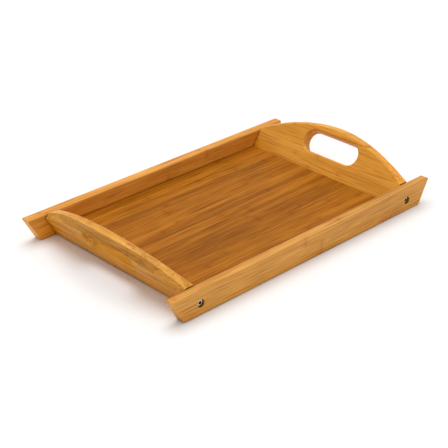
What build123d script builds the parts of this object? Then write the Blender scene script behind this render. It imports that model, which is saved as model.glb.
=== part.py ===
from build123d import *
import math
import os

# Bamboo serving tray. Millimetres. The origin is on the table, under the middle of the tray.
# +X runs along the rails towards the right end board, +Y towards the rear rail, +Z up.

# Rails: the two long sides, standing on the table
rail_length = 451.0            # along the top edge, before its corners are rounded
rail_height = 33.0
rail_thickness = 13.0
rail_end_slant = 17.9          # each end is cut back this far at the bottom
rail_foot_radius = 4.0         # rounding of the bottom corners, seen from the side
rail_edge_radius = 1.0         # rounding round the outer face and across the ends of the top
rail_inner_radius = 2.5        # rounding along the inner edge of the top
inner_width = 254.5            # between the rails

# Base panel: a rebate round its upper edge leaves a tongue, held in grooves on all four sides
panel_thickness = 5.0
panel_top = 11.0
panel_gap = 0.15               # round the floor's edge, above the tongue
tongue_thickness = 4.0
groove_depth = 5.0
groove_play = 0.1

# End boards: they lean outwards and taper slightly towards the top
board_inner_foot = 159.9       # X of the inner face on the table
board_outer_foot = 183.6       # X of the outer face on the table
board_inner_lean = 33.2        # degrees from vertical
board_outer_lean = 28.0
arch_top_height = 63.5         # top of the inner face, in the middle
arch_end_height = 34.0         # top of the inner face, at the rails
arch_top_rise = 0.52           # rise of the top surface for each mm of board thickness
arch_inner_radius = 2.0        # rounding of the arch's inner edge

# Cove along the outside of the arch, for the fingers
cove_radius = 9.0
cove_wall = 7.7                # board thickness left behind the cove
cove_drop = 0.5                # depth of the cutter's centre under the arch's inner edge, mid-board
cove_rise = 13.5               # height of the cutter's centre over the arch's inner edge, at the rails
cove_reach = 140.0             # Y that the cutter passes, beyond the rails

# Hand hole: a slot with round ends
hole_length = 94.0
hole_height = 29.8
hole_bottom_height = 31.0      # on the inner face
hole_slope = 43.0              # degrees by which the hole descends outwards
hole_inner_radius = 2.5
hole_outer_radius = 2.0

# Screws: one through each rail into each end of each end board
screw_x = 182.0
screw_height = 15.0
screw_head_diameter = 8.4
screw_head_height = 3.0
screw_neck_diameter = 6.8
screw_thread_diameter = 5.0
screw_length = 48.0            # under the head
screw_socket_width = 4.0       # across flats
screw_socket_depth = 2.4
screw_recess = 2.2             # from the rail's face down to the head
counterbore_diameter = 10.2
hole_play = 0.1                # on the diameter

half_width = inner_width / 2
panel_bottom = panel_top - panel_thickness
tongue_middle = panel_bottom + tongue_thickness / 2
inner_slope = math.tan(math.radians(board_inner_lean))
outer_slope = math.tan(math.radians(board_outer_lean))

# The inner face of the right end board: x is along Y, y is up the slope, z is outwards
lean = math.radians(board_inner_lean)
board_plane = Plane(
    origin=(board_inner_foot, 0, 0),
    x_dir=(0, 1, 0),
    z_dir=(math.cos(lean), 0, -math.sin(lean)),
)


def up_slope(height):
    """Distance up the inner face's slope to a height over the table."""
    return height / math.cos(lean)


def rail():
    """Front rail without its holes: a trapezoid with soft edges and a stopped groove."""
    top = rail_length / 2
    foot = top - rail_end_slant
    with BuildPart() as part:
        with BuildSketch(Plane.XZ.offset(half_width)) as side:
            with BuildLine():
                Polyline((-foot, 0), (foot, 0), (top, rail_height), (-top, rail_height), close=True)
            make_face()
            fillet(side.vertices().group_by(Axis.Y)[0], rail_foot_radius)
        extrude(amount=rail_thickness)
        top_edges = part.edges().filter_by(Axis.X).group_by(Axis.Z)[-1]
        fillet(top_edges.sort_by(Axis.Y)[-1], rail_inner_radius)
        ends = part.edges().filter_by(Axis.Y).group_by(Axis.Z)[-1]
        outer_face = part.faces().sort_by(Axis.Y)[0]
        fillet(ends + outer_face.edges(), rail_edge_radius)
        with Locations((0, -half_width, tongue_middle)):
            Box(
                2 * (panel_end() + groove_play),
                2 * groove_depth,
                tongue_thickness + 2 * groove_play,
                mode=Mode.SUBTRACT,
            )
    return part.part


def panel_end():
    """X of the base panel's end, at the bottom of the end board's groove."""
    return board_inner_foot + panel_top * inner_slope + groove_depth - groove_play


def base_panel():
    """Flat panel whose tongue reaches into the grooves of the rails and end boards."""
    tongue_width = inner_width + 2 * (groove_depth - groove_play)
    tongue = Box(2 * panel_end(), tongue_width, tongue_thickness)
    shoulder = panel_bottom + tongue_thickness
    floor_end = board_inner_foot + shoulder * inner_slope - panel_gap
    floor = Box(2 * floor_end, inner_width - 2 * panel_gap, panel_thickness)
    return Pos(0, 0, tongue_middle) * tongue + Pos(0, 0, panel_top - panel_thickness / 2) * floor


def board_blank():
    """Leaning, tapered end board, before the arch is cut."""
    high = arch_top_height + 20
    outline = Polyline(
        (board_inner_foot, 0),
        (board_outer_foot, 0),
        (board_outer_foot + high * outer_slope, high),
        (board_inner_foot + high * inner_slope, high),
        close=True,
    )
    return extrude(Plane.XZ * make_face(outline), half_width, both=True)


def arch_radius():
    """Radius of the arch's inner edge, in the plane of the inner face."""
    sag = up_slope(arch_top_height) - up_slope(arch_end_height)
    return (half_width**2 + sag**2) / (2 * sag)


def arch_axis():
    """Plane whose Z axis is the arch's axis, pointing outwards."""
    centre = up_slope(arch_top_height) - arch_radius()
    return board_plane * Pos(0, centre, 0)


def arch_body():
    """Cone about the arch's axis: the board's top surface lies on it."""
    reach = 40.0
    cone = Cone(
        arch_radius() - reach * arch_top_rise,
        arch_radius() + reach * arch_top_rise,
        2 * reach,
    )
    return arch_axis() * cone


def cove_cutter():
    """Ball-nosed cutter's path outside the arch: a flatter arc, which runs out at the rails."""
    top = up_slope(arch_top_height) - cove_drop
    sag = top - up_slope(arch_end_height) - cove_rise
    ring = (half_width**2 + sag**2) / (2 * sag)
    swing = math.degrees(math.asin(cove_reach / ring))
    section = Plane.YZ * Pos(ring, cove_wall + cove_radius) * Circle(cove_radius)
    path = revolve(Rot(0, 0, -swing) * section, Axis.Z, 2 * swing)
    return board_plane * Pos(0, top - ring, 0) * path


def hand_hole():
    """Slot with round ends that descends outwards through the board."""
    middle = up_slope(hole_bottom_height) + hole_height / 2
    slot = board_plane * Pos(0, middle) * SlotOverall(hole_length, hole_height)
    slope = math.radians(hole_slope)
    return extrude(slot, 40, dir=(math.cos(slope), 0, -math.sin(slope)), both=True)


def depth(edge):
    """Distance of an edge's middle behind the inner face."""
    return board_plane.to_local_coords(edge).center().Z


def soften_hole(blank, board):
    """Round the rims of the hand hole: four edges in the inner face, then four in the outer."""
    rim = new_edges(blank, combined=board).sort_by(depth)
    board = fillet(rim[:4], hole_inner_radius)
    rim = new_edges(blank, combined=board).sort_by(depth)
    return fillet(rim[-4:], hole_outer_radius)


def screw_place(x_side, y_side):
    """Seat of a screw's head, with Z out of the rail."""
    seat = half_width + rail_thickness - screw_recess - screw_head_height
    return Plane(
        origin=(x_side * screw_x, y_side * seat, screw_height),
        x_dir=(1, 0, 0),
        z_dir=(0, y_side, 0),
    )


def screw():
    """Furniture screw with a flat cylinder head and a hexagon socket, head upwards."""
    base = (Align.CENTER, Align.CENTER, Align.MIN)
    under = (Align.CENTER, Align.CENTER, Align.MAX)
    head = Cylinder(screw_head_diameter / 2, screw_head_height, align=base)
    head = fillet(head.edges().group_by(Axis.Z)[-1], 0.5)
    neck_length = rail_thickness - screw_recess - screw_head_height
    neck = Cylinder(screw_neck_diameter / 2, neck_length, align=under)
    thread = Cylinder(screw_thread_diameter / 2, screw_length, align=under)
    thread = chamfer(thread.edges().group_by(Axis.Z)[0], 1.2)
    socket = RegularPolygon(screw_socket_width / 2, 6, major_radius=False)
    socket = extrude(Pos(0, 0, screw_head_height) * socket, -screw_socket_depth)
    return head + neck + thread - socket


def screw_bore(x_side, y_side):
    """Stepped hole for one screw: counterbore, clearance for the neck, and pilot."""
    base = (Align.CENTER, Align.CENTER, Align.MIN)
    under = (Align.CENTER, Align.CENTER, Align.MAX)
    neck_length = rail_thickness - screw_recess - screw_head_height
    bore = Cylinder(counterbore_diameter / 2, 20, align=base)
    bore += Cylinder((screw_neck_diameter + hole_play) / 2, neck_length, align=under)
    bore += Cylinder((screw_thread_diameter + hole_play) / 2, screw_length + 1, align=under)
    return screw_place(x_side, y_side) * bore


def end_board():
    """Right end board with its arch, cove, hand hole, groove and pilot holes."""
    board = board_blank() & arch_body()
    board = fillet(board.edges().filter_by(GeomType.CIRCLE), arch_inner_radius)
    board -= cove_cutter()
    board = soften_hole(board, board - hand_hole())
    groove_x = panel_end() + groove_play
    groove = Box(
        groove_x,
        inner_width,
        tongue_thickness + 2 * groove_play,
        align=(Align.MIN, Align.CENTER, Align.CENTER),
    )
    board -= Pos(0, 0, tongue_middle) * groove
    for y_side in (-1, 1):
        board -= screw_bore(1, y_side)
    return board


def make_parts():
    """Every piece by the name of its node."""
    right_board = end_board()
    front = rail()
    for x_side in (-1, 1):
        front -= screw_bore(x_side, -1)
    parts = {
        "base_panel": base_panel(),
        "front_rail": front,
        "rear_rail": mirror(front, Plane.XZ),
        "right_end_board": right_board,
        "left_end_board": mirror(right_board, Plane.YZ),
    }
    for x_name, x_side in (("left", -1), ("right", 1)):
        for y_name, y_side in (("front", -1), ("rear", 1)):
            parts[f"screw_{y_name}_{x_name}"] = screw_place(x_side, y_side) * screw()
    return parts


os.makedirs("parts", exist_ok=True)
for name, solid in make_parts().items():
    solid.label = name
    export_step(solid, f"parts/{name}.step")
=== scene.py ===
import bpy
import math
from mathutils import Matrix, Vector

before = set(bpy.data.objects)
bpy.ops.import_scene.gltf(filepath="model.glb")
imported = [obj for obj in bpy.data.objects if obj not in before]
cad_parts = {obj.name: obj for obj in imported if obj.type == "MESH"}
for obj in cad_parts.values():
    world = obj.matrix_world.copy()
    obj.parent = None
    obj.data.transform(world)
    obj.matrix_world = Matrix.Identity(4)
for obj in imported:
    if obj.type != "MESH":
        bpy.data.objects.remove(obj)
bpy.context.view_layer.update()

# Camera, as seen from the front left and above
CAMERA_AZIMUTH = -43.58
CAMERA_ELEVATION = 28.04
CAMERA_ROLL = -0.33
CAMERA_DISTANCE = 1.652
CAMERA_TARGET = Vector((0.0446, 0.0604, -0.0452))
SENSOR_WIDTH = 36.0
LENS = 97.67

# Lights
WORLD_STRENGTH = 0.66
KEY_STRENGTH = 1.6
KEY_SPREAD = math.radians(50)
KEY_FROM = Vector((0.20, 0.25, 1.0))
FLOOR_WHITE = 0.93
FLOOR_ROUGHNESS = 0.9
FLOOR_SPECULAR = 0.1
FLOOR_SIZE = 8.0
FLOOR_CLEARANCE = 0.0002          # below the tray's feet

# Bamboo: sizes in metres
BOARD_LEAN = math.radians(33.2)   # the end boards' inner faces, from vertical
NODE_SPACING = 0.27               # between the rings of one cane
NODE_WIDTH = 0.0022               # a ring fades out over this, either side
NODE_HALO = 0.011                 # and the darker zone round it over this
SEAM_WIDTH = 0.00022              # a glue line fades out over this, either side
SWAY = 0.0016                     # how far the grain wanders across a board
WEAR_AND_HIGHLIGHT_RADIUS = 0.0012              # of the edges that are paler from wear and a painted highlight
RELIEF_HEIGHT = 0.00025

# Reach of the painted shade where surfaces stand close, in metres
HOLLOW_REACH = 0.035              # inside the tray and under the boards
NOOK_REACH = 0.018                # inside one piece's own hollows, such as a cove
JOINT_REACH = 0.004               # along the joints between two pieces

# Bamboo: how strongly each mark shows, from 0 to 1
DASH_DEPTH = 0.55
SEAM_DEPTH = 0.35
NODE_DEPTH = 0.32
HALO_DEPTH = 0.6 * NODE_DEPTH
RELIEF_STRENGTH = 0.35
TONE_SHARE = 0.14                 # of a strip's own tone in the mixed grain
GRAIN_SHARES = {"broad": 0.14, "streak": 0.68, "fibre": 0.38}
ROUGHNESS = 0.38
FIBRE_ROUGHNESS = 0.22            # the fibres' spread of roughness, about the middle
DASH_ROUGHNESS = 0.12
SCREW_RELIEF_STRENGTH = 0.15
SCREW_RELIEF_HEIGHT = 0.00005

# Tones of lacquered bamboo and of nickel, linear RGB
RAIL_TONES = ((0.50, 0.180, 0.016), (0.68, 0.30, 0.050), (0.82, 0.43, 0.110))
BOARD_TONES = ((0.54, 0.200, 0.012), (0.73, 0.32, 0.034), (0.86, 0.45, 0.110))
PANEL_TONES = ((0.29, 0.080, 0.003), (0.40, 0.130, 0.006), (0.58, 0.225, 0.020))
NICKEL_TONES = ((0.50, 0.46, 0.40), (0.70, 0.66, 0.60), (0.86, 0.83, 0.78))
STAIN = (0.62, 0.38, 0.16)        # darkens dashes, glue lines and nodes
HOLLOW_SHADE_TINT = (1.00, 0.88, 0.12)    # painted shade: hollows look darker and redder, as light there has met wood already
BRIGHTEST = (0.92, 0.92, 0.92)    # limit of the strips' colour, before the paler edges of wear and painted highlight
WEAR_AND_HIGHLIGHT_GAIN = 1.12                  # edges paler from wear and a painted highlight, over the palest tone

# Samples of the two nodes that look around a point
CREASE_SAMPLES = 8
EDGE_SAMPLES = 4


class Graph:
    """A material's node tree, with short calls that return an output socket."""

    def __init__(self, name):
        self.material = bpy.data.materials.new(name)
        self.material.use_nodes = True
        self.tree = self.material.node_tree
        self.shader = self.tree.nodes["Principled BSDF"]

    def put(self, socket, value):
        if isinstance(value, bpy.types.NodeSocket):
            self.tree.links.new(value, socket)
        else:
            socket.default_value = value

    def add(self, kind, **facts):
        node = self.tree.nodes.new(kind)
        for name, value in facts.items():
            setattr(node, name, value)
        return node

    def maths(self, operation, *values, clamp=False):
        node = self.add("ShaderNodeMath", operation=operation, use_clamp=clamp)
        for socket, value in zip(node.inputs, values):
            self.put(socket, value)
        return node.outputs[0]

    def span(self, value, low, high, start=0.0, end=1.0):
        """Carry low..high smoothly over to start..end."""
        node = self.add("ShaderNodeMapRange", interpolation_type="SMOOTHSTEP")
        for socket, number in zip(node.inputs, (value, low, high, start, end)):
            self.put(socket, number)
        return node.outputs[0]

    def noise(self, vector, scale=1.0, detail=3.0, roughness=0.5):
        node = self.add("ShaderNodeTexNoise")
        self.put(node.inputs["Vector"], vector)
        self.put(node.inputs["Scale"], scale)
        self.put(node.inputs["Detail"], detail)
        self.put(node.inputs["Roughness"], roughness)
        return node.outputs[0]

    def random(self, value):
        node = self.add("ShaderNodeTexWhiteNoise", noise_dimensions="1D")
        self.put(node.inputs["W"], value)
        return node.outputs["Value"]

    def vector(self, x, y, z):
        node = self.add("ShaderNodeCombineXYZ")
        for socket, value in zip(node.inputs, (x, y, z)):
            self.put(socket, value)
        return node.outputs[0]

    def ramp(self, factor, tones):
        node = self.add("ShaderNodeValToRGB")
        self.put(node.inputs[0], factor)
        stops = node.color_ramp.elements
        for index, tone in enumerate(tones):
            place = index / (len(tones) - 1)
            stop = stops[index] if index < 2 else stops.new(place)
            stop.position = place
        for stop, tone in zip(stops, tones):
            stop.color = (*tone, 1)
        return node.outputs[0]

    def mix(self, factor, first, second, blend="MIX"):
        node = self.add("ShaderNodeMix", data_type="RGBA", blend_type=blend)
        self.put(node.inputs[0], factor)
        self.put(node.inputs[6], first)
        self.put(node.inputs[7], second)
        return node.outputs[2]

    def shade(self, colour, factor):
        """Multiply a colour by a grey factor."""
        node = self.add("ShaderNodeVectorMath", operation="SCALE")
        self.put(node.inputs[0], colour)
        self.put(node.inputs["Scale"], factor)
        return node.outputs[0]

    def crease(self, distance, own=False):
        """1 in the open, less where surfaces stand close: own counts only the same piece's."""
        node = self.add("ShaderNodeAmbientOcclusion", samples=CREASE_SAMPLES, only_local=own)
        node.inputs["Distance"].default_value = distance
        return node.outputs["AO"]

    def edge(self, radius):
        """0 on flat faces, rising towards the object's edges."""
        bevel = self.add("ShaderNodeBevel", samples=EDGE_SAMPLES)
        bevel.inputs["Radius"].default_value = radius
        geometry = self.add("ShaderNodeNewGeometry")
        dot = self.add("ShaderNodeVectorMath", operation="DOT_PRODUCT")
        self.put(dot.inputs[0], bevel.outputs[0])
        self.put(dot.inputs[1], geometry.outputs["Normal"])
        return self.span(dot.outputs["Value"], 1.0, 0.9)

    def relief(self, height, strength, distance):
        """Raise the surface by the height, in units of the distance."""
        bump = self.add("ShaderNodeBump")
        bump.inputs["Strength"].default_value = strength
        bump.inputs["Distance"].default_value = distance
        self.put(bump.inputs["Height"], height)
        self.put(self.shader.inputs["Normal"], bump.outputs[0])


def grain_space(graph, along, lean):
    """Object coordinates as distances along, up and through the wood, in metres."""
    place = graph.add("ShaderNodeTexCoord").outputs["Object"]
    if lean:
        turn = graph.add("ShaderNodeMapping")
        turn.inputs["Rotation"].default_value = (0, lean, 0)
        graph.put(turn.inputs["Vector"], place)
        place = turn.outputs[0]
    split = graph.add("ShaderNodeSeparateXYZ")
    graph.put(split.inputs[0], place)
    x, y, z = split.outputs
    return {"X": (x, z, y), "XY": (x, y, z), "Y": (y, z, x)}[along]


def strips(graph, up, through, width, thickness, seed):
    """A number of its own for each strip, and the closeness of its glue lines."""
    row = graph.maths("DIVIDE", up, width)
    layer = graph.maths("DIVIDE", through, thickness)
    row_number = graph.maths("FLOOR", row)
    layer_number = graph.maths("FLOOR", layer)
    number = graph.maths("MULTIPLY_ADD", layer_number, 17.3, row_number)
    number = graph.maths("ADD", number, seed)
    gap = graph.maths("PINGPONG", row, 0.5)
    seam = graph.span(graph.maths("MULTIPLY", gap, width), 0.0, SEAM_WIDTH, 1.0, 0.0)
    return number, seam


def cane_nodes(graph, along, number):
    """Rings across each strip, and the broader zone round them."""
    start = graph.random(graph.maths("ADD", number, 0.37))
    place = graph.maths("ADD", graph.maths("DIVIDE", along, NODE_SPACING), start)
    from_node = graph.maths("MULTIPLY", graph.maths("PINGPONG", place, 0.5), NODE_SPACING)
    ring = graph.span(from_node, 0.0, NODE_WIDTH, 1.0, 0.0)
    halo = graph.span(from_node, 0.0, NODE_HALO, 1.0, 0.0)
    return ring, halo


def grain_patterns(graph, length, up, through, strip, seed, streak_rate):
    """The wood's marks by name, each a number from 0 to 1."""
    sway = graph.noise(graph.vector(graph.maths("MULTIPLY", length, 9.0), up, through), 1.0, 2.0)
    wavy = graph.maths("MULTIPLY_ADD", sway, SWAY, up)
    width, thickness = strip
    number, seam = strips(graph, up, through, width, thickness, seed)
    tone = graph.random(number)
    shift = graph.maths("MULTIPLY", tone, 3.0)

    def streaks(per_length, per_width, detail, rough=0.6):
        """Noise drawn out along the grain, shifted from strip to strip."""
        return graph.noise(graph.vector(
            graph.maths("MULTIPLY_ADD", length, per_length, shift),
            graph.maths("MULTIPLY", wavy, per_width),
            graph.maths("MULTIPLY", through, per_width),
        ), 1.0, detail, rough)

    ring, halo = cane_nodes(graph, length, number)
    return {
        "tone": tone,
        "seam": seam,
        "ring": ring,
        "halo": halo,
        "broad": streaks(5.0, 110.0, 3.0),
        "streak": streaks(9.0, streak_rate, 2.0),
        "fibre": streaks(11.0, 850.0, 4.0),
        "dash": graph.span(streaks(20.0, 700.0, 1.0, 0.4), 0.55, 0.66),
        "pale_dash": graph.span(streaks(16.0, 520.0, 2.0, 0.4), 0.55, 0.66),
        "cloud": graph.noise(graph.vector(length, up, through), 14.0, 2.0),
    }


def strip_colour(graph, marks, tones, contrast, tone_and_light_gain, strip_contrast):
    """Grain in each strip's own tone, brighter or darker from strip to strip."""
    middle = 0.5 * (TONE_SHARE + sum(GRAIN_SHARES.values()))
    mixed = graph.maths("MULTIPLY_ADD", marks["tone"], TONE_SHARE, 0.5 - middle)
    for mark, share in GRAIN_SHARES.items():
        mixed = graph.maths("MULTIPLY_ADD", marks[mark], share, mixed)
    spread = graph.maths("MULTIPLY_ADD", mixed, contrast, 0.5 - 0.5 * contrast)
    # the gain sets the tone, and for the rails and end boards paints them lighter or darker as lit
    # or shaded copies
    darkest = tone_and_light_gain * (1 - strip_contrast)
    palest = tone_and_light_gain * (1 + 0.5 * strip_contrast)
    level = graph.span(marks["tone"], 0.0, 1.0, darkest, palest)
    level = graph.maths("MULTIPLY", level, graph.span(marks["cloud"], 0.3, 0.7, 0.93, 1.06))
    colour = graph.shade(graph.ramp(spread, tones), level)
    return graph.mix(1.0, colour, (*BRIGHTEST, 1), "DARKEN")


def draw_marks(graph, colour, marks, palest, pale):
    """Pale and dark dashes, glue lines, cane nodes, and edges paler from wear and a painted
    highlight, over the strips.
    """
    colour = graph.mix(graph.maths("MULTIPLY", marks["pale_dash"], pale), colour, (*palest, 1))
    depths = {"dash": DASH_DEPTH, "seam": SEAM_DEPTH, "ring": NODE_DEPTH, "halo": HALO_DEPTH}
    for mark, depth in depths.items():
        stained = graph.maths("MULTIPLY", marks[mark], depth)
        colour = graph.mix(stained, colour, (*STAIN, 1), "MULTIPLY")
    # edges paler from wear and a painted highlight
    worn_and_highlit = (*(min(1.0, WEAR_AND_HIGHLIGHT_GAIN * part) for part in palest), 1)
    rubbed_and_highlit = graph.span(marks["fibre"], 0.35, 0.6, 0.15, 0.45)
    return graph.mix(graph.maths("MULTIPLY", graph.edge(WEAR_AND_HIGHLIGHT_RADIUS), rubbed_and_highlit), colour, worn_and_highlit)


def paint_crease_shade(graph, colour, nook_shade):
    """Painted shade: redder in hollows, darker in a piece's own nooks and along joints."""
    hollow_shade = graph.span(graph.crease(HOLLOW_REACH), 0.05, 0.85, 1.0, 0.0)
    colour = graph.mix(hollow_shade, colour, (*HOLLOW_SHADE_TINT, 1), "MULTIPLY")
    own = graph.crease(NOOK_REACH, own=True)
    colour = graph.shade(colour, graph.span(own, 0.5, 1.0, nook_shade, 1.0))
    joint_shade = graph.crease(JOINT_REACH)
    return graph.shade(colour, graph.span(joint_shade, 0.25, 0.85, 0.35, 1.0))


def bamboo(name, tones, along, lean=0.0, seed=0.0, strip=(0.02, 0.006), strip_contrast=0.10,
           pale=0.25, specular=0.15, contrast=1.8, tone_and_light_gain=1.0, nook_shade=0.8, streak_rate=480.0):
    """Lacquered bamboo: strips, fibres, dark vascular dashes, cane nodes, edges paler from wear
    and a painted highlight, and painted shade in creases.
    """
    graph = Graph(name)
    length, up, through = grain_space(graph, along, lean)
    marks = grain_patterns(graph, length, up, through, strip, seed, streak_rate)
    colour = strip_colour(graph, marks, tones, contrast, tone_and_light_gain, strip_contrast)
    colour = draw_marks(graph, colour, marks, tones[-1], pale)
    # painted shade in hollows, in the piece's own nooks and along joints
    colour = paint_crease_shade(graph, colour, nook_shade)
    graph.put(graph.shader.inputs["Base Color"], colour)

    smoothest = ROUGHNESS - 0.5 * FIBRE_ROUGHNESS
    rough = graph.maths("MULTIPLY_ADD", marks["fibre"], FIBRE_ROUGHNESS, smoothest)
    rough = graph.maths("MULTIPLY_ADD", marks["dash"], DASH_ROUGHNESS, rough)
    graph.put(graph.shader.inputs["Roughness"], rough)
    graph.shader.inputs["Specular IOR Level"].default_value = specular

    height = marks["fibre"]
    for mark, rise in (("dash", -0.6), ("seam", -0.8), ("ring", 0.5)):
        height = graph.maths("MULTIPLY_ADD", marks[mark], rise, height)
    graph.relief(height, RELIEF_STRENGTH, RELIEF_HEIGHT)
    return graph.material


def screw_steel():
    """Bright nickel with a fine uneven surface, with painted shade in the socket and round the
    head.
    """
    graph = Graph("screw_steel")
    place = graph.add("ShaderNodeTexCoord").outputs["Object"]
    fine = graph.noise(place, 2600.0, 3.0, 0.6)
    cloudy = graph.noise(place, 320.0, 2.0)
    colour = graph.ramp(cloudy, NICKEL_TONES)
    # painted shade: darker in the socket and wherever other surfaces stand close
    colour = graph.shade(colour, graph.span(graph.crease(JOINT_REACH), 0.4, 0.95, 0.03, 1.0))
    graph.put(graph.shader.inputs["Base Color"], colour)
    graph.put(graph.shader.inputs["Roughness"], graph.span(fine, 0.3, 0.7, 0.16, 0.34))
    graph.shader.inputs["Metallic"].default_value = 1.0
    graph.relief(fine, SCREW_RELIEF_STRENGTH, SCREW_RELIEF_HEIGHT)
    return graph.material


def add_camera():
    azimuth = math.radians(CAMERA_AZIMUTH)
    elevation = math.radians(CAMERA_ELEVATION)
    back = Vector((
        math.sin(azimuth) * math.cos(elevation),
        -math.cos(azimuth) * math.cos(elevation),
        math.sin(elevation),
    ))
    data = bpy.data.cameras.new("camera")
    data.sensor_width = SENSOR_WIDTH
    data.lens = LENS
    camera = bpy.data.objects.new("camera", data)
    camera.location = CAMERA_TARGET + CAMERA_DISTANCE * back
    turn = (-back).to_track_quat("-Z", "Y")
    camera.rotation_euler = turn.to_euler()
    camera.rotation_euler.rotate_axis("Z", math.radians(CAMERA_ROLL))
    bpy.context.scene.collection.objects.link(camera)
    bpy.context.scene.camera = camera


def add_floor():
    bpy.ops.mesh.primitive_plane_add(size=FLOOR_SIZE, location=(0, 0, -FLOOR_CLEARANCE))
    floor = bpy.context.object
    floor.name = "floor"
    graph = Graph("floor_white")
    graph.shader.inputs["Base Color"].default_value = (FLOOR_WHITE, FLOOR_WHITE, FLOOR_WHITE, 1)
    graph.shader.inputs["Roughness"].default_value = FLOOR_ROUGHNESS
    graph.shader.inputs["Specular IOR Level"].default_value = FLOOR_SPECULAR
    floor.data.materials.append(graph.material)


def add_lights():
    world = bpy.data.worlds.new("studio")
    world.use_nodes = True
    background = world.node_tree.nodes["Background"]
    background.inputs["Color"].default_value = (1, 1, 1, 1)
    background.inputs["Strength"].default_value = WORLD_STRENGTH
    bpy.context.scene.world = world
    data = bpy.data.lights.new("key", "SUN")
    data.energy = KEY_STRENGTH
    data.angle = KEY_SPREAD
    key = bpy.data.objects.new("key", data)
    key.rotation_euler = (-KEY_FROM).to_track_quat("-Z", "Y").to_euler()
    bpy.context.scene.collection.objects.link(key)
    bpy.context.scene.view_settings.view_transform = "Standard"


def finish_of():
    """The material of each CAD node."""
    steel = screw_steel()
    # The gain values set each piece's tone and paint light: the rear rail and the right board are
    # painted brighter, the front rail and the left board darker, as lit and shaded copies of one
    # bamboo. The nook values paint shade, deeper in the end boards' coves and hand holes.
    finishes = {
        "base_panel": bamboo(
            "bamboo_panel", PANEL_TONES, "XY", seed=3.0, strip=(0.0085, 0.02), strip_contrast=0.13,
            pale=0.4, specular=0.05, contrast=1.9, tone_and_light_gain=0.91, streak_rate=430.0,
        ),
        "front_rail": bamboo("bamboo_front_rail", RAIL_TONES, "X", seed=11.0, tone_and_light_gain=0.91),
        "rear_rail": bamboo("bamboo_rear_rail", RAIL_TONES, "X", seed=29.0, tone_and_light_gain=1.30, nook_shade=0.9),
        "left_end_board": bamboo(
            "bamboo_left_board", BOARD_TONES, "Y", -BOARD_LEAN, seed=41.0,
            contrast=1.6, tone_and_light_gain=0.96, nook_shade=0.30,
        ),
        "right_end_board": bamboo(
            "bamboo_right_board", BOARD_TONES, "Y", BOARD_LEAN, seed=53.0,
            contrast=1.5, tone_and_light_gain=1.20, nook_shade=0.30,
        ),
    }
    for corner in ("front_left", "front_right", "rear_left", "rear_right"):
        finishes[f"screw_{corner}"] = steel
    return finishes


add_camera()
add_floor()
add_lights()
for name, material in finish_of().items():
    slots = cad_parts[name].data.materials
    slots.clear()
    slots.append(material)
